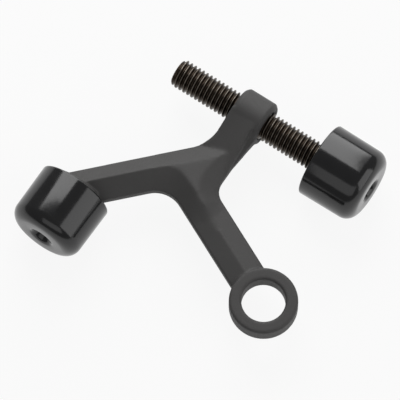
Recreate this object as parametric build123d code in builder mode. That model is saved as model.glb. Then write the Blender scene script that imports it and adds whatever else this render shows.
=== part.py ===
from build123d import *
import os
from math import cos, radians, sin, tan

os.makedirs("parts", exist_ok=True)

# Ring for the hinge pin, which stands along Z at the origin
ring_radius = 9.1
pin_bore_radius = 5.8
ring_half_height = 2.7
ring_edge_bevel = 0.4

# Arm from the ring to the elbow
ring_arm_angle = 154.2
ring_arm_half_width = 5.0
ring_arm_ridge = 2.55
ring_arm_level_length = 27.0
ring_arm_rise_length = 4.5

# Arm from the fixed bumper to the elbow
fixed_rim_x = -58.5
fixed_rim_y = -0.8
fixed_bumper_angle = -91.0
fixed_arm_angle = 45.8
fixed_arm_half_width = 4.85
fixed_arm_ridge = 4.9

# Edges and facets, and the ridge round the elbow, measured from the inner corner's centre
edge_half_height = 1.15
web_half_height = 1.1
facet_overshoot = 0.2
elbow_ridge_radius = 13.8
elbow_end_ridge = 4.2
elbow_sections = 7
elbow_backing = 1.0
plateau_gap = 0.1
fork_ridge = 3.4

# Corners between the arms, seen from above
elbow_corner_radius = 7.5
top_corner_radius = 12.0
rod_corner_radius = 5.3
rod_corner_bevel_angle = 29.5

# Neck and boss for the threaded rod, which lies along X
rod_axis_y = 41.8
boss_left = -36.0
boss_length = 9.6
boss_radius = 6.35
boss_edge_bevel = 0.9
neck_width = 8.5
neck_slope_angle = 17.0
neck_foot_half_height = 0.6
neck_foot_half_width = 9.5
neck_sink = 0.1
neck_draft_angle = 8.0

# Threaded rod, solid out to the crests of its thread
rod_radius = 4.0
rod_clearance = 0.08
rod_tail = 18.6
rod_reach = 16.6
rod_end_chamfer = 0.7
bore_chamfer = 0.6

# Stub that a bumper is pushed onto: a neck, then a head
stub_neck_radius = 3.0
stub_neck_length = 5.0
stub_head_radius = 4.0
stub_head_length = 6.2
collar_radius = 6.5
collar_height = 1.5

# Rubber bumper, the same at both ends
bumper_radius = 10.3
bumper_length = 16.2
bumper_front_ease = 2.8
bumper_front_bulge = 0.44
bumper_rim_bevel = 0.35
bumper_fit = 0.1
eye_radius = 1.45
dimple_radius = 3.2
dimple_depth = 2.8
dimple_lip_bevel = 0.5

# Larger than the whole part, for cuts that run past it
beyond = 80.0


def heading(angle):
    """Unit vector in the XY plane."""
    return Vector(cos(radians(angle)), sin(radians(angle)), 0)


def crossing(point, along, other, other_along):
    """Point where two lines in the XY plane meet."""
    across = Vector(-other_along.Y, other_along.X, 0)
    return point + along * ((other - point).dot(across) / along.dot(across))


# Centre lines of the three arms
ring_centre = Vector(0, 0, 0)
fixed_rim = Vector(fixed_rim_x, fixed_rim_y, 0)
neck_centre = Vector(boss_left + neck_width / 2, rod_axis_y, 0)
ring_arm_along = heading(ring_arm_angle)
fixed_arm_along = heading(fixed_arm_angle)
neck_along = Vector(0, 1, 0)
elbow = crossing(ring_centre, ring_arm_along, fixed_rim, fixed_arm_along)
fork = crossing(neck_centre, neck_along, fixed_rim, fixed_arm_along)
neck_root = crossing(neck_centre, neck_along, ring_centre, ring_arm_along)

# Side of each arm that faces away from the elbow's inner corner
ring_side_angle = ring_arm_angle - 90
fixed_side_angle = fixed_arm_angle + 90
ring_side = heading(ring_side_angle)
fixed_side = heading(fixed_side_angle)
neck_left = Vector(-1, 0, 0)
neck_right = Vector(1, 0, 0)

# Concave corners of the outline
ring_edge = ring_side * ring_arm_half_width
fixed_edge = fixed_rim + fixed_side * fixed_arm_half_width
inner_corner = crossing(
    ring_edge * -1, ring_arm_along, fixed_rim - fixed_side * fixed_arm_half_width, fixed_arm_along
)
inner_corner_centre = crossing(
    ring_side * -(ring_arm_half_width + elbow_corner_radius),
    ring_arm_along,
    fixed_rim - fixed_side * (fixed_arm_half_width + elbow_corner_radius),
    fixed_arm_along,
)
elbow_turn = fixed_side_angle - ring_side_angle
top_corner = crossing(neck_centre + neck_left * neck_width / 2, neck_along, fixed_edge, fixed_arm_along)
rod_corner = crossing(neck_centre + neck_right * neck_width / 2, neck_along, ring_edge, ring_arm_along)
rod_corner_centre = crossing(
    neck_centre + neck_right * (neck_width / 2 + rod_corner_radius),
    neck_along,
    ring_side * (ring_arm_half_width + rod_corner_radius),
    ring_arm_along,
)

# The neck's faces end just under the boss's surface, at its tangent
neck_top_y = rod_axis_y - boss_radius * sin(radians(neck_slope_angle))
neck_top_half_height = boss_radius * cos(radians(neck_slope_angle)) - neck_sink
neck_rise = neck_top_half_height - neck_foot_half_height
neck_foot_y = neck_top_y - neck_rise / tan(radians(neck_slope_angle))
neck_foot_plane = Plane(
    origin=(neck_centre.X, neck_foot_y, 0), x_dir=(ring_side.Y, -ring_side.X, 0), z_dir=ring_side
)
neck_top_plane = Plane(origin=(neck_centre.X, neck_top_y, 0), x_dir=(1, 0, 0), z_dir=neck_along)

# Places of the two bumpers: their rims, and the ways they face
fixed_facing = heading(fixed_bumper_angle)
fixed_rim_along = heading(fixed_bumper_angle + 90)
fixed_seat = Plane(origin=fixed_rim, x_dir=fixed_facing, z_dir=(0, 0, 1))
boss_right = boss_left + boss_length
rod_axis = Axis((0, rod_axis_y, 0), (1, 0, 0))
bore_radius = rod_radius + rod_clearance
rod_rim = Vector(boss_right + rod_reach, rod_axis_y, 0)
rod_seat = Plane(origin=rod_rim, x_dir=(1, 0, 0), z_dir=(0, 0, 1))
rod_start = boss_left - rod_tail - rod_rim.X
stub_length = stub_neck_length + stub_head_length


def ridge_radius(fraction):
    """Distance of the ridge from the inner corner's centre, from the fixed arm at 0 to the ring arm at 1."""
    start = fixed_arm_half_width + elbow_corner_radius
    end = ring_arm_half_width + elbow_corner_radius
    straight = start + (end - start) * fraction
    return straight + (elbow_ridge_radius - (start + end) / 2) * sin(radians(180 * fraction)) ** 3


def elbow_plane(fraction, shift=0):
    """Plane across the ridge at a fraction of the elbow, shifted on towards the ring."""
    out = heading(fixed_side_angle - elbow_turn * fraction)
    travel = Vector(out.Y, -out.X, 0)
    place = inner_corner_centre + out * ridge_radius(fraction) + travel * shift
    return Plane(origin=place, x_dir=out, z_dir=travel)


def lean_to(ridge, reach):
    """Corners of half an arm's section: facets from the ridge that run on past the edge."""
    foot = edge_half_height - facet_overshoot * (ridge - edge_half_height)
    far = reach * (1 + facet_overshoot)
    return [(0, -ridge), (far, -foot), (far, foot), (0, ridge)]


def roof(ridge, half_width):
    """Corners of an arm's whole section: a ridge above and below, with facets on both sides."""
    return lean_to(ridge, half_width) + lean_to(ridge, -half_width)[2:0:-1]


fixed_crest = elbow_plane(0).origin
ring_crest = elbow_plane(1).origin
fixed_arm_run = (fixed_crest - fixed_rim).length + 3 * fixed_arm_half_width
ring_arm_run = ring_crest.length
fork_end = crossing(rod_corner, neck_along, fixed_rim, fixed_arm_along)
fork_run = (fork_end - fixed_crest).length
fork_fall = (fixed_arm_ridge - fork_ridge) / (fork - fixed_crest).length
plateau_start = fixed_crest + Vector(0, 0, fixed_arm_ridge)
plateau_side = ring_crest + Vector(0, 0, elbow_end_ridge)
plateau_end = fork + Vector(0, 0, fork_ridge)
plateau_slope = Plane(
    origin=plateau_start, z_dir=(plateau_side - plateau_start).cross(plateau_end - plateau_start)
)


def plateau_height(place):
    """Height of the plateau over a point of the plan."""
    down = plateau_slope.z_dir.dot(Vector(place.X, place.Y, 0) - plateau_start)
    return -down / plateau_slope.z_dir.Z


fixed_roof = roof(fixed_arm_ridge, fixed_arm_half_width)
ring_roof = roof(ring_arm_ridge, ring_arm_half_width)
elbow_end_roof = roof(elbow_end_ridge, ring_arm_half_width)

plateau_border = []
for step in range(elbow_sections):
    part_way = step / (elbow_sections - 1)
    border_plane = elbow_plane(part_way)
    plateau_border.append(border_plane.origin + border_plane.x_dir * plateau_gap * sin(radians(180 * part_way)))

with BuildPart() as yoke:
    # Plateau between the elbow's ridge and the fork, falling towards the neck
    with BuildSketch():
        with BuildLine():
            Spline(*plateau_border, tangents=(fixed_arm_along, ring_arm_along * -1))
            Polyline(
                ring_crest,
                ring_arm_along * ring_arm_along.dot(rod_corner_centre),
                rod_corner_centre - ring_side * rod_corner_radius,
                rod_corner,
                fork_end,
                fixed_crest,
            )
        make_face()
    extrude(amount=fixed_arm_ridge)
    with BuildSketch(plateau_slope):
        Rectangle(beyond, beyond)
    extrude(amount=beyond / 2, mode=Mode.SUBTRACT)
    mirror(about=Plane.XY)

    # Outer facets of the fixed arm, carried on past the elbow to the fork
    with BuildSketch(elbow_plane(0)):
        with BuildLine():
            Polyline(*lean_to(fixed_arm_ridge, fixed_arm_half_width), close=True)
        make_face()
    with BuildSketch(elbow_plane(0, fork_run)):
        with BuildLine():
            Polyline(*lean_to(fixed_arm_ridge - fork_fall * fork_run, fixed_arm_half_width), close=True)
        make_face()
    loft(ruled=True)

    # Bevel round the corner between the ring arm and the neck, above and below
    bevel_top = edge_half_height + beyond * tan(radians(rod_corner_bevel_angle))
    with BuildSketch(Plane(origin=rod_corner_centre, x_dir=neck_left, z_dir=neck_along)) as bevel:
        with BuildLine():
            Polyline(
                (rod_corner_radius - 1, edge_half_height - tan(radians(rod_corner_bevel_angle))),
                (rod_corner_radius + beyond, bevel_top),
                (rod_corner_radius - 1, bevel_top),
                close=True,
            )
        make_face()
        mirror(about=Plane.XZ)
    revolve(axis=Axis(rod_corner_centre, (0, 0, 1)), mode=Mode.SUBTRACT)
    extrude(bevel.sketch, amount=beyond / 2, mode=Mode.SUBTRACT)

    # Fixed arm
    with BuildSketch(elbow_plane(0, -fixed_arm_run)):
        with BuildLine():
            Polyline(*fixed_roof, close=True)
        make_face()
    extrude(amount=fixed_arm_run)

    # Elbow, whose inner facets bend with the ridge, along the plateau's border
    for step in range(elbow_sections):
        part_way = step / (elbow_sections - 1)
        ridge = plateau_height(elbow_plane(part_way).origin)
        with BuildSketch(elbow_plane(part_way)):
            with BuildLine():
                Polyline(
                    *lean_to(ridge, elbow_corner_radius - ridge_radius(part_way)),
                    (elbow_backing, ridge - elbow_backing),
                    (elbow_backing, elbow_backing - ridge),
                    close=True,
                )
            make_face()
    loft()

    # Ring arm: level from the elbow, then a fall, then level again to the ring
    with BuildSketch(elbow_plane(1)):
        with BuildLine():
            Polyline(*elbow_end_roof, close=True)
        make_face()
    extrude(amount=ring_arm_run - ring_arm_level_length - ring_arm_rise_length)
    with BuildSketch(elbow_plane(1, ring_arm_run - ring_arm_level_length - ring_arm_rise_length)):
        with BuildLine():
            Polyline(*elbow_end_roof, close=True)
        make_face()
    with BuildSketch(elbow_plane(1, ring_arm_run - ring_arm_level_length)):
        with BuildLine():
            Polyline(*ring_roof, close=True)
        make_face()
    loft()
    with BuildSketch(elbow_plane(1, ring_arm_run)):
        with BuildLine():
            Polyline(*ring_roof, close=True)
        make_face()
    extrude(amount=-ring_arm_level_length)

    # Neck, which starts square to the ring arm and rises to meet the boss
    with BuildSketch(neck_foot_plane):
        Rectangle(2 * neck_foot_half_width, 2 * neck_foot_half_height)
    with BuildSketch(neck_top_plane):
        Rectangle(neck_width, 2 * neck_top_half_height)
    loft(ruled=True)

    # Draft on the neck's side towards the ring, from the middle plane up and down
    with BuildSketch(Plane(origin=rod_corner_centre, x_dir=neck_left, z_dir=neck_along)):
        with BuildLine():
            Polyline(
                (rod_corner_radius - 1, -tan(radians(90 - neck_draft_angle))),
                (rod_corner_radius + beyond * tan(radians(neck_draft_angle)), beyond),
                (rod_corner_radius - 1, beyond),
                close=True,
            )
        make_face()
        mirror(about=Plane.XZ)
    extrude(amount=beyond / 2, mode=Mode.SUBTRACT)

    # A web between the facets' edges, then the outline from above, which ends square to the
    # fixed bumper's rim and has three rounded corners
    Box(2 * beyond, 2 * beyond, 2 * web_half_height)
    with BuildSketch() as outline:
        with BuildLine():
            Polyline(
                crossing(fixed_rim, fixed_rim_along, fixed_edge, fixed_arm_along),
                fork + fixed_side * fixed_arm_half_width,
                fork - fixed_side * fixed_arm_half_width,
                crossing(fixed_rim, fixed_rim_along, fixed_rim * 2 - fixed_edge, fixed_arm_along),
                close=True,
            )
        make_face()
        with BuildLine():
            Polyline(ring_edge, elbow + ring_edge, elbow - ring_edge, ring_edge * -1, close=True)
        make_face()
        with BuildLine():
            Polyline(
                neck_root + neck_left * neck_width / 2,
                neck_centre + neck_left * neck_width / 2,
                neck_centre + neck_right * neck_width / 2,
                neck_root + neck_right * neck_width / 2,
                close=True,
            )
        make_face()
        fillet(outline.vertices().sort_by_distance(inner_corner)[0], elbow_corner_radius)
        fillet(outline.vertices().sort_by_distance(top_corner)[0], top_corner_radius)
        fillet(outline.vertices().sort_by_distance(rod_corner)[0], rod_corner_radius)
    extrude(amount=boss_radius, both=True, mode=Mode.INTERSECT)

    # Ring
    with BuildSketch():
        Circle(ring_radius - ring_edge_bevel)
    extrude(amount=boss_radius, both=True, mode=Mode.SUBTRACT)
    with BuildSketch(Plane.XZ) as ring_section:
        with Locations(((ring_radius + pin_bore_radius) / 2, 0)):
            Rectangle(ring_radius - pin_bore_radius, 2 * ring_half_height)
        chamfer(ring_section.vertices(), ring_edge_bevel)
    revolve(axis=Axis.Z)

    # Boss, with the bore that holds the rod
    with BuildSketch() as boss_section:
        with BuildLine():
            Polyline(
                (boss_left, rod_axis_y),
                (boss_left, rod_axis_y + boss_radius),
                (boss_right, rod_axis_y + boss_radius),
                (boss_right, rod_axis_y),
                close=True,
            )
        make_face()
        chamfer(boss_section.vertices().group_by(Axis.Y)[-1], boss_edge_bevel)
    revolve(axis=rod_axis)
    with BuildSketch():
        with BuildLine():
            Polyline(
                (boss_left, rod_axis_y),
                (boss_left, rod_axis_y + bore_radius + bore_chamfer),
                (boss_left + bore_chamfer, rod_axis_y + bore_radius),
                (boss_right - bore_chamfer, rod_axis_y + bore_radius),
                (boss_right, rod_axis_y + bore_radius + bore_chamfer),
                (boss_right, rod_axis_y),
                close=True,
            )
        make_face()
    revolve(axis=rod_axis, mode=Mode.SUBTRACT)

    # Collar and stub for the fixed bumper
    with BuildSketch(fixed_seat):
        with BuildLine():
            Polyline(
                (-collar_height, 0),
                (-collar_height, collar_radius),
                (0, collar_radius),
                (0, stub_neck_radius),
                (stub_neck_length, stub_neck_radius),
                (stub_neck_length, stub_head_radius),
                (stub_length, stub_head_radius),
                (stub_length, 0),
                close=True,
            )
        make_face()
    revolve(axis=Axis(fixed_rim, fixed_facing))

yoke.part.label = "yoke"
export_step(yoke.part, "parts/yoke.step")

# Rod: a plain end, and at the other end the stub that turns in its bumper
with BuildPart() as threaded_rod:
    with BuildSketch(rod_seat) as rod_section:
        with BuildLine():
            Polyline(
                (rod_start, 0),
                (rod_start, rod_radius),
                (0, rod_radius),
                (0, stub_neck_radius),
                (stub_neck_length, stub_neck_radius),
                (stub_neck_length, stub_head_radius),
                (stub_length, stub_head_radius),
                (stub_length, 0),
                close=True,
            )
        make_face()
        chamfer(rod_section.vertices().sort_by_distance((rod_start, rod_radius))[0], rod_end_chamfer)
    revolve(axis=rod_axis)

threaded_rod.part.label = "threaded_rod"
export_step(threaded_rod.part, "parts/threaded_rod.step")

# Bumpers: a rubber cap with a pocket that grips the stub, and an eye in its face
for name, seat in (("fixed_bumper", fixed_seat), ("adjustable_bumper", rod_seat)):
    pocket_start = stub_neck_length - bumper_fit
    pocket_end = stub_length + bumper_fit
    with BuildPart() as bumper:
        with BuildSketch(seat) as cap:
            with BuildLine():
                SagittaArc(
                    (bumper_length - bumper_front_ease, bumper_radius),
                    (bumper_length, bumper_radius - bumper_front_ease),
                    bumper_front_bulge,
                )
                Polyline(
                    (bumper_length, bumper_radius - bumper_front_ease),
                    (bumper_length, dimple_radius),
                    (bumper_length - dimple_depth, eye_radius),
                    (pocket_end, eye_radius),
                    (pocket_end, stub_head_radius + bumper_fit),
                    (pocket_start, stub_head_radius + bumper_fit),
                    (pocket_start, stub_neck_radius + bumper_fit),
                    (0, stub_neck_radius + bumper_fit),
                    (0, bumper_radius),
                    (bumper_length - bumper_front_ease, bumper_radius),
                )
            make_face()
            chamfer(cap.vertices().sort_by_distance((0, bumper_radius))[0], bumper_rim_bevel)
            chamfer(cap.vertices().sort_by_distance((bumper_length, dimple_radius))[0], dimple_lip_bevel)
        revolve(axis=Axis(seat.origin, seat.x_dir))
    bumper.part.label = name
    export_step(bumper.part, f"parts/{name}.step")
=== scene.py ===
import math

import bmesh
import bpy
from mathutils import Matrix, Vector


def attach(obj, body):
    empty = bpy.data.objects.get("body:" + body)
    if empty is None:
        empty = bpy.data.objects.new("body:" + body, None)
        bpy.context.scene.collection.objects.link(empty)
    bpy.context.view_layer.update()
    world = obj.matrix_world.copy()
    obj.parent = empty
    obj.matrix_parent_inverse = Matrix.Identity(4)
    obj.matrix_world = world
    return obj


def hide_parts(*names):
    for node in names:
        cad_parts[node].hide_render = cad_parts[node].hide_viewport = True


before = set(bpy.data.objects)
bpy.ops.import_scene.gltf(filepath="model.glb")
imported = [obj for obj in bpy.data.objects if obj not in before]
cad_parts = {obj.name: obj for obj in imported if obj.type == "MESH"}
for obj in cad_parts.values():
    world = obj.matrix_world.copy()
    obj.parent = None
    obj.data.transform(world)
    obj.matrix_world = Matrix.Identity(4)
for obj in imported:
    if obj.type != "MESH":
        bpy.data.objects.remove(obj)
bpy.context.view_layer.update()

mm = 0.001
fullTurn = 2 * math.pi
weld = 0.002 * mm  # spun verts closer than this are one


# small tools

def hexToLinear(text):
    parts = [int(text[i:i + 2], 16) / 255 for i in (1, 3, 5)]
    return [c / 12.92 if c <= 0.04045 else ((c + 0.055) / 1.055) ** 2.4 for c in parts] + [1.0]


def addNode(tree, kind, inputs=None, **settings):
    node = tree.nodes.new(kind)
    for name, value in settings.items():
        setattr(node, name, value)
    for socket, value in (inputs or {}).items():
        if isinstance(value, bpy.types.NodeSocket):
            tree.links.new(value, node.inputs[socket])
        else:
            node.inputs[socket].default_value = value
    return node


def startMaterial(name):
    material = bpy.data.materials.new(name)
    material.use_nodes = True
    tree = material.node_tree
    tree.nodes.clear()
    return material, tree


def objectPlace(tree):
    return addNode(tree, "ShaderNodeTexCoord").outputs["Object"]


def addNoise(tree, place, size, detail):
    # size is what one cell of the pattern measures on the object
    noise = addNode(tree, "ShaderNodeTexNoise", {"Vector": place, "Scale": 1 / size, "Detail": detail})
    return noise.outputs["Fac"]


def mixTones(tree, share, tones):
    first, second = (hexToLinear(tone) for tone in tones)
    mix = addNode(tree, "ShaderNodeMix", {"Factor": share, "A": first, "B": second}, data_type="RGBA")
    return mix.outputs["Result"]


def mapRange(tree, value, source, target):
    mapped = addNode(tree, "ShaderNodeMapRange", {
        "Value": value, "From Min": source[0], "From Max": source[1],
        "To Min": target[0], "To Max": target[1],
    })
    return mapped.outputs["Result"]


def addBump(tree, height, strength, distance, below=None):
    inputs = {"Height": height, "Strength": strength, "Distance": distance}
    if below is not None:
        inputs["Normal"] = below
    return addNode(tree, "ShaderNodeBump", inputs).outputs["Normal"]


def finishMaterial(tree, inputs):
    shader = addNode(tree, "ShaderNodeBsdfPrincipled", inputs)
    addNode(tree, "ShaderNodeOutputMaterial", {"Surface": shader.outputs["BSDF"]})


def makeObject(name, bm, material, smoothAngle=None):
    mesh = bpy.data.meshes.new(name)
    bm.to_mesh(mesh)
    bm.free()
    mesh.materials.append(material)
    for polygon in mesh.polygons:
        polygon.use_smooth = True
    if smoothAngle is not None:
        mesh.set_sharp_from_angle(angle=math.radians(smoothAngle))
    piece = bpy.data.objects.new(name, mesh)
    bpy.context.scene.collection.objects.link(piece)
    return piece


# camera, at the photograph's angle, through a long lens

view = {
    "azimuth": 33.5,
    "elevation": 70.0,
    "target": (-29.70 * mm, 14.84 * mm, 0.0),
    "frameWidth": 105.26 * mm,  # what the picture's 400 pixels take in
    "lens": 500.0,
    "sensor": 36.0,
    "nearest": 0.1,
    "farthest": 20.0,
}

azimuth = math.radians(view["azimuth"])
elevation = math.radians(view["elevation"])
towardsCamera = Vector((
    math.sin(azimuth) * math.cos(elevation), -math.cos(azimuth) * math.cos(elevation), math.sin(elevation),
))
cameraData = bpy.data.cameras.new("camera")
cameraData.lens = view["lens"]
cameraData.sensor_width = view["sensor"]
cameraData.clip_start = view["nearest"]
cameraData.clip_end = view["farthest"]
camera = bpy.data.objects.new("camera", cameraData)
camera.location = Vector(view["target"]) + towardsCamera * view["frameWidth"] * view["lens"] / view["sensor"]
camera.rotation_mode = "QUATERNION"
camera.rotation_quaternion = (-towardsCamera).to_track_quat("-Z", "Y")
bpy.context.scene.collection.objects.link(camera)
bpy.context.scene.camera = camera
print("camera set")


# materials

noiseSpan = (0.3, 0.7)  # where most of a noise's values lie

coat = {
    "tones": ("#363534", "#3e3d3d"),
    "driftSize": 9.09 * mm,
    "driftDetail": 3.0,
    "speckSize": 0.303 * mm,
    "speckDetail": 1.0,
    "speckStrength": 0.15,
    "speckHeight": 0.02 * mm,
    "peelSize": 0.7143 * mm,
    "peelDetail": 2.0,
    "peelStrength": 0.22,
    "peelHeight": 0.05 * mm,
    "roughness": (0.56, 0.66),
    "index": 1.47,
}

oxide = {
    "tones": ("#383029", "#857e75"),
    "blotchSize": 1.4286 * mm,
    "blotchDetail": 3.0,
    "blotchStrength": 0.1,
    "blotchHeight": 0.02 * mm,
    "crestLightFrom": 3.9 * mm,  # distance from the rod's axis at which the lighter crest colour, partly rubbed wear and partly a painted highlight, starts, and where it is full
    "crestLightTo": 3.96 * mm,
    "wearAndHighlightShare": (0.4, 1.0),
    "roughness": (0.3, 0.42),
}

skinOfRubber = {
    "tones": ("#121213", "#1c1c1d"),
    "bloomSize": 6.25 * mm,
    "bloomDetail": 4.0,
    "rippleSize": 1.111 * mm,
    "rippleDetail": 2.0,
    "rippleStrength": 0.16,
    "rippleHeight": 0.03 * mm,
    "roughness": (0.12, 0.18),
    "index": 1.52,
}


def makePowderCoat():
    # Zinc die casting, powder coated in satin black: a warm near-black that goes grey where light grazes it,
    # with the faint orange peel and specks of a sprayed and baked coat
    material, tree = startMaterial("powder_coated_zinc_satin_black")
    place = objectPlace(tree)
    drift = addNoise(tree, place, coat["driftSize"], coat["driftDetail"])
    speck = addNoise(tree, place, coat["speckSize"], coat["speckDetail"])
    peel = addNoise(tree, place, coat["peelSize"], coat["peelDetail"])
    relief = addBump(tree, peel, coat["peelStrength"], coat["peelHeight"])
    finishMaterial(tree, {
        "Base Color": mixTones(tree, drift, coat["tones"]),
        "Roughness": mapRange(tree, speck, noiseSpan, coat["roughness"]),
        "Normal": addBump(tree, speck, coat["speckStrength"], coat["speckHeight"], relief),
        "IOR": coat["index"],
    })
    return material


def makeBlackOxide(axisY):
    # Steel with a rolled thread, blackened in an oxide bath: brown-black in the grooves, and a dull warm grey
    # in patches along the crests, partly rubbed and partly a painted highlight of the bright crest lines
    material, tree = startMaterial("black_oxide_steel_oiled")
    place = objectPlace(tree)
    across = addNode(tree, "ShaderNodeMapping", {
        "Vector": place, "Location": (0, -axisY, 0), "Scale": (0, 1, 1),
    })
    radius = addNode(tree, "ShaderNodeVectorMath", {0: across.outputs["Vector"]}, operation="LENGTH")
    # lighter towards the crests: partly rubbed wear, partly a painted highlight of the crest lines
    crestHighlightMask = mapRange(tree, radius.outputs["Value"], (oxide["crestLightFrom"], oxide["crestLightTo"]), (0.0, 1.0))
    blotch = addNoise(tree, place, oxide["blotchSize"], oxide["blotchDetail"])
    patch = mapRange(tree, blotch, noiseSpan, oxide["wearAndHighlightShare"])
    wearAndHighlight = addNode(tree, "ShaderNodeMath", {0: crestHighlightMask, 1: patch}, operation="MULTIPLY")
    finishMaterial(tree, {
        "Base Color": mixTones(tree, wearAndHighlight.outputs["Value"], oxide["tones"]),
        "Roughness": mapRange(tree, blotch, noiseSpan, oxide["roughness"]),
        "Normal": addBump(tree, blotch, oxide["blotchStrength"], oxide["blotchHeight"]),
        "Metallic": 1.0,
    })
    return material


def makeRubber():
    # Black rubber from a polished mould: a deep black skin that mirrors the studio softly, with a slight
    # ripple and a little dull bloom
    material, tree = startMaterial("moulded_rubber_gloss_black")
    place = objectPlace(tree)
    bloom = addNoise(tree, place, skinOfRubber["bloomSize"], skinOfRubber["bloomDetail"])
    ripple = addNoise(tree, place, skinOfRubber["rippleSize"], skinOfRubber["rippleDetail"])
    finishMaterial(tree, {
        "Base Color": mixTones(tree, bloom, skinOfRubber["tones"]),
        "Roughness": mapRange(tree, bloom, noiseSpan, skinOfRubber["roughness"]),
        "Normal": addBump(tree, ripple, skinOfRubber["rippleStrength"], skinOfRubber["rippleHeight"]),
        "IOR": skinOfRubber["index"],
    })
    return material


# casting: the CAD solid with the soft edges of a cast and coated part

casting = {
    "facetWeld": 0.0005 * mm,
    "voxel": 0.26 * mm,
    "smoothSteps": 7,
    "smoothing": 0.5,
    # where the arms flow together, and the corner of the neck and the boss: centre, reach, least height and
    # smoothing steps
    "blends": (
        ((-28.5 * mm, 22.5 * mm), 13.0 * mm, 1.9 * mm, 14),
        ((-24.9 * mm, 13.7 * mm), 6.0 * mm, 1.9 * mm, 40),
        ((-26.8 * mm, 34.4 * mm), 2.9 * mm, -1.0 * mm, 12),
    ),
    "blending": 0.5,
    # the neck's side spreads to the end of the boss: along Y, half height there, and the face's place along X
    "spreadFrom": (25.0 * mm, 0.9 * mm, -27.55 * mm),
    "spreadTo": (36.9 * mm, 4.2 * mm, -26.55 * mm),
    "spreadRoot": -29.0 * mm,
    "spreadTaper": 0.45,  # how high the face is, as a share of the root
}

castingFinish = makePowderCoat()


def blend(bm, centre, reach, above, steps):
    verts = [v for v in bm.verts if abs(v.co.z) > above and (v.co.xy - Vector(centre)).length < reach]
    for _ in range(steps):
        bmesh.ops.smooth_vert(
            bm, verts=verts, factor=casting["blending"], use_axis_x=True, use_axis_y=True, use_axis_z=True,
        )


bm = bmesh.new()
bm.from_mesh(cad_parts["yoke"].data)
bmesh.ops.remove_doubles(bm, verts=bm.verts, dist=casting["facetWeld"])
for vert in bmesh.ops.create_cube(bm, size=2.0)["verts"]:  # corners at 1 and -1 are put in their places
    along, height, face = casting["spreadTo"] if vert.co.y > 0 else casting["spreadFrom"]
    if vert.co.x > 0:
        vert.co = (face, along, vert.co.z * height * casting["spreadTaper"])
    else:
        vert.co = (casting["spreadRoot"], along, vert.co.z * height)
bmesh.ops.recalc_face_normals(bm, faces=bm.faces)
rough = makeObject("yoke_rough", bm, castingFinish)
remesh = rough.modifiers.new("skin", "REMESH")
remesh.mode = "VOXEL"
remesh.voxel_size = casting["voxel"]
soften = rough.modifiers.new("soften", "SMOOTH")
soften.factor = casting["smoothing"]
soften.iterations = casting["smoothSteps"]
skin = bpy.data.meshes.new_from_object(rough.evaluated_get(bpy.context.evaluated_depsgraph_get()))
bpy.data.objects.remove(rough)
bm = bmesh.new()
bm.from_mesh(skin)
for centre, reach, above, steps in casting["blends"]:
    blend(bm, centre, reach, above, steps)
yokeCasting = makeObject("yoke_casting", bm, castingFinish)
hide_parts("yoke")
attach(yokeCasting, "casting")
print("casting made,", len(yokeCasting.data.polygons), "faces")


# rod: a rolled M8 by 1.25 right-hand thread, with a plain stub inside its bumper

rod = {
    "axisY": 41.8 * mm,
    "start": -54.6 * mm,
    "end": -9.8 * mm,
    "pitch": 1.25 * mm,
    "rootRadius": 3.3 * mm,
    "crestRadius": 3.97 * mm,
    # across one pitch: share of the pitch, share of the thread's depth
    "section": (
        (0.0, 0.0), (0.1, 0.0), (0.2, 0.16), (0.41, 0.94), (0.44, 1.0),
        (0.56, 1.0), (0.59, 0.94), (0.8, 0.16), (0.9, 0.0),
    ),
    "turnsBefore": 1.5,  # the spun thread starts this far before the rod, and is cut at both ends
    "turnsSpare": 2,
    "stepsPerTurn": 36,
    "endBevel": 0.7 * mm,
    "stubGap": 0.02 * mm,
    "stubNeckRadius": 3.0 * mm,
    "stubNeckLength": 5.0 * mm,
    "stubHeadRadius": 4.0 * mm,
    "stubHeadLength": 6.2 * mm,
    "stubSteps": 48,
    "smoothAngle": 50,
}

rodCentre = (0, rod["axisY"], 0)
turns = math.ceil((rod["end"] - rod["start"]) / rod["pitch"]) + rod["turnsSpare"]
depth = rod["crestRadius"] - rod["rootRadius"]
bm = bmesh.new()
threadStart = rod["start"] - rod["pitch"] * rod["turnsBefore"]
line = []
for along, up in rod["section"] + ((1.0, 0.0),):
    line.append(bm.verts.new((
        threadStart + rod["pitch"] * along, rod["axisY"], rod["rootRadius"] + depth * up,
    )))
edges = [bm.edges.new(pair) for pair in zip(line, line[1:])]
bmesh.ops.spin(
    bm, geom=line + edges, cent=rodCentre, axis=(1, 0, 0), dvec=(rod["pitch"] / rod["stepsPerTurn"], 0, 0),
    angle=fullTurn * turns, steps=turns * rod["stepsPerTurn"], use_merge=False, use_duplicate=False,
)
bmesh.ops.remove_doubles(bm, verts=bm.verts, dist=weld)
for place, facing in ((rod["start"], -1), (rod["end"], 1)):
    bmesh.ops.bisect_plane(
        bm, geom=bm.verts[:] + bm.edges[:] + bm.faces[:], plane_co=(place, rod["axisY"], 0),
        plane_no=(facing, 0, 0), clear_outer=True,
    )
bmesh.ops.holes_fill(bm, edges=[edge for edge in bm.edges if edge.is_boundary], sides=0)
for vert in bm.verts:  # the end's bevel takes the first turns down
    room = rod["crestRadius"] - max(rod["endBevel"] - (vert.co.x - rod["start"]), 0)
    away = Vector((vert.co.y - rod["axisY"], vert.co.z))
    if away.length > room:
        away *= room / away.length
        vert.co.y = rod["axisY"] + away.x
        vert.co.z = away.y
stubEnd = rod["stubNeckLength"] + rod["stubHeadLength"]
outline = [
    (0, 0), (0, rod["stubNeckRadius"]), (rod["stubNeckLength"], rod["stubNeckRadius"]),
    (rod["stubNeckLength"], rod["stubHeadRadius"]), (stubEnd, rod["stubHeadRadius"]), (stubEnd, 0),
]
stub = [bm.verts.new((rod["end"] + rod["stubGap"] + along, rod["axisY"], up)) for along, up in outline]
stubEdges = [bm.edges.new(pair) for pair in zip(stub, stub[1:])]
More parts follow.
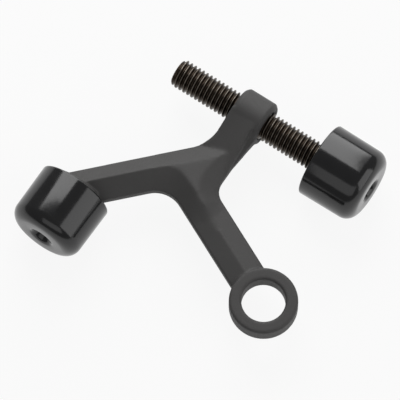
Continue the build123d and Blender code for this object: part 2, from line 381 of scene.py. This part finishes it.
bmesh.ops.spin(
    bm, geom=stub + stubEdges, cent=rodCentre, axis=(1, 0, 0), dvec=(0, 0, 0), angle=fullTurn,
    steps=rod["stubSteps"], use_merge=True,
)
bmesh.ops.remove_doubles(bm, verts=bm.verts, dist=weld)
bmesh.ops.recalc_face_normals(bm, faces=bm.faces)
threadedRod = makeObject("threaded_rod_rolled", bm, makeBlackOxide(rod["axisY"]), rod["smoothAngle"])
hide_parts("threaded_rod")
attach(threadedRod, "rod")
print("rod made,", len(threadedRod.data.polygons), "faces")


# bumpers: moulded rubber caps, alike, pressed onto the stubs

bumper = {
    "length": 16.2 * mm,
    "radius": 10.3 * mm,
    "frontRadius": 10.15 * mm,
    "dimpleRadius": 3.2 * mm,
    "dimpleDepth": 2.8 * mm,
    "eyeRadius": 1.45 * mm,
    # roundings: radius, segments
    "frontRound": (3.6 * mm, 12),
    "rimRound": (0.5 * mm, 4),
    "lipRound": (0.7 * mm, 5),
    "eyeRound": (0.3 * mm, 3),
    "eyeEnd": 11.3 * mm,
    "pocketStart": 4.9 * mm,
    "pocketRadius": 4.1 * mm,
    "neckRadius": 3.1 * mm,
    "steps": 128,
    "smoothAngle": 40,
    "near": 0.01 * mm,  # how close an edge lies to the corner it is rounded for
    "fixedRim": (-58.5 * mm, -0.8 * mm, 0),
    "fixedAngle": -91.0,
}

rubber = makeRubber()


def roundCorner(bm, along, up, radius, segments):
    ring = []
    for edge in bm.edges:
        ends = [(vert.co.x, math.hypot(vert.co.y, vert.co.z)) for vert in edge.verts]
        if all(abs(x - along) < bumper["near"] and abs(r - up) < bumper["near"] for x, r in ends):
            ring.append(edge)
    bmesh.ops.bevel(
        bm, geom=ring, offset=radius, offset_type="OFFSET", affect="EDGES", segments=segments, profile=0.5,
        material=-1,
    )


def makeBumper(name, origin, angle):
    front, dimpleFloor = bumper["length"], bumper["length"] - bumper["dimpleDepth"]
    corners = [
        (0, bumper["neckRadius"]), (0, bumper["radius"]), (front, bumper["frontRadius"]),
        (front, bumper["dimpleRadius"]), (dimpleFloor, bumper["eyeRadius"]),
        (bumper["eyeEnd"], bumper["eyeRadius"]), (bumper["eyeEnd"], bumper["pocketRadius"]),
        (bumper["pocketStart"], bumper["pocketRadius"]), (bumper["pocketStart"], bumper["neckRadius"]),
    ]
    bm = bmesh.new()
    loop = [bm.verts.new((along, 0, up)) for along, up in corners]
    sides = [bm.edges.new(pair) for pair in zip(loop, loop[1:] + loop[:1])]
    bmesh.ops.spin(
        bm, geom=loop + sides, cent=(0, 0, 0), axis=(1, 0, 0), dvec=(0, 0, 0), angle=fullTurn,
        steps=bumper["steps"], use_merge=True,
    )
    bmesh.ops.remove_doubles(bm, verts=bm.verts, dist=weld)
    bmesh.ops.recalc_face_normals(bm, faces=bm.faces)
    roundCorner(bm, front, bumper["frontRadius"], *bumper["frontRound"])
    roundCorner(bm, 0, bumper["radius"], *bumper["rimRound"])
    roundCorner(bm, front, bumper["dimpleRadius"], *bumper["lipRound"])
    roundCorner(bm, dimpleFloor, bumper["eyeRadius"], *bumper["eyeRound"])
    place = Matrix.Translation(origin) @ Matrix.Rotation(math.radians(angle), 4, "Z")
    bmesh.ops.transform(bm, matrix=place, verts=bm.verts)
    piece = makeObject(name, bm, rubber, bumper["smoothAngle"])
    return piece


fixedBumper = makeBumper("fixed_bumper_rubber", bumper["fixedRim"], bumper["fixedAngle"])
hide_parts("fixed_bumper")
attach(fixedBumper, "casting")
slidingBumper = makeBumper("adjustable_bumper_rubber", (rod["end"], rod["axisY"], 0), 0)
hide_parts("adjustable_bumper")
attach(slidingBumper, "sliding_bumper")
print("bumpers made,", len(fixedBumper.data.polygons), "faces each")


# floor: all but white to the camera and in mirror reflections, with the object's shadow on it, and a plain
# grey to scattered light; the white is a painted glow, a pool of light that fades to mostly grey away from
# the object

floor = {
    "height": -10.4 * mm,
    "size": 12.0,
    "colour": "#d0d0d0",
    # where the painted glow around the object is full and where it has faded, and its share near and far
    "whiteTo": 0.12,
    "greyFrom": 0.35,
    "whiteShare": 0.9,
    "farShare": 0.25,
}


def makeFloorFinish():
    material, tree = startMaterial("pale_floor_painted_light_pool")
    rays = addNode(tree, "ShaderNodeLightPath")
    looked = addNode(tree, "ShaderNodeMath", {
        0: rays.outputs["Is Camera Ray"], 1: rays.outputs["Is Glossy Ray"],
    }, operation="MAXIMUM")
    seen = addNode(tree, "ShaderNodeMath", {
        0: looked.outputs["Value"], 1: rays.outputs["Is Transmission Ray"],
    }, operation="MAXIMUM")
    away = addNode(tree, "ShaderNodeVectorMath", {0: objectPlace(tree)}, operation="LENGTH")
    # painted pool of light: the floor's white glow is strongest around the object and fades away from it
    paintedLightPool = mapRange(
        tree, away.outputs["Value"], (floor["whiteTo"], floor["greyFrom"]),
        (floor["whiteShare"], floor["farShare"]),
    )
    share = addNode(tree, "ShaderNodeMath", {0: seen.outputs["Value"], 1: paintedLightPool}, operation="MULTIPLY")
    matt = addNode(tree, "ShaderNodeBsdfDiffuse", {"Color": hexToLinear(floor["colour"])})
    white = addNode(tree, "ShaderNodeEmission", {"Color": hexToLinear("#ffffff"), "Strength": 1.0})
    both = addNode(tree, "ShaderNodeMixShader", {
        0: share.outputs["Value"], 1: matt.outputs["BSDF"], 2: white.outputs["Emission"],
    })
    addNode(tree, "ShaderNodeOutputMaterial", {"Surface": both.outputs["Shader"]})
    return material


bm = bmesh.new()
bmesh.ops.create_grid(
    bm, x_segments=1, y_segments=1, size=floor["size"] / 2,
    matrix=Matrix.Translation((0, 0, floor["height"])),
)
floorPiece = makeObject("floor", bm, makeFloorFinish())


# light: a bright sheet behind and over the left shoulder, weaker ones on the right and in front, and a dim
# room

lamps = {
    "backSheet": {
        "place": (-0.35, 0.38, 0.35), "facing": (0, -0.814, -0.581), "size": (0.58, 0.70), "power": 4.5,
    },
    "rightSheet": {
        "place": (0.42, 0.14, 0.24), "facing": (-0.883, 0, -0.469), "size": (0.50, 0.50), "power": 1.2,
    },
    "frontSheet": {
        "place": (0.10, -0.36, 0.33), "facing": (-0.1, 0.74, -0.66), "size": (0.60, 0.30), "power": 0.4,
    },
}
roomLight = {"colour": "#ffffff", "strength": 0.2}

for name, lamp in lamps.items():
    data = bpy.data.lights.new(name, "AREA")
    data.shape = "RECTANGLE"
    data.size, data.size_y = lamp["size"]
    data.energy = lamp["power"]
    piece = bpy.data.objects.new(name, data)
    piece.location = lamp["place"]
    piece.rotation_mode = "QUATERNION"
    piece.rotation_quaternion = Vector(lamp["facing"]).to_track_quat("-Z", "Y")
    bpy.context.scene.collection.objects.link(piece)

world = bpy.data.worlds.new("pale_room")
world.use_nodes = True
world.node_tree.nodes.clear()
sky = addNode(world.node_tree, "ShaderNodeBackground", {
    "Color": hexToLinear(roomLight["colour"]), "Strength": roomLight["strength"],
})
addNode(world.node_tree, "ShaderNodeOutputWorld", {"Surface": sky.outputs["Background"]})
bpy.context.scene.world = world
bpy.context.scene.view_settings.view_transform = "Standard"
print("floor and light set")

bpy.context.view_layer.update()
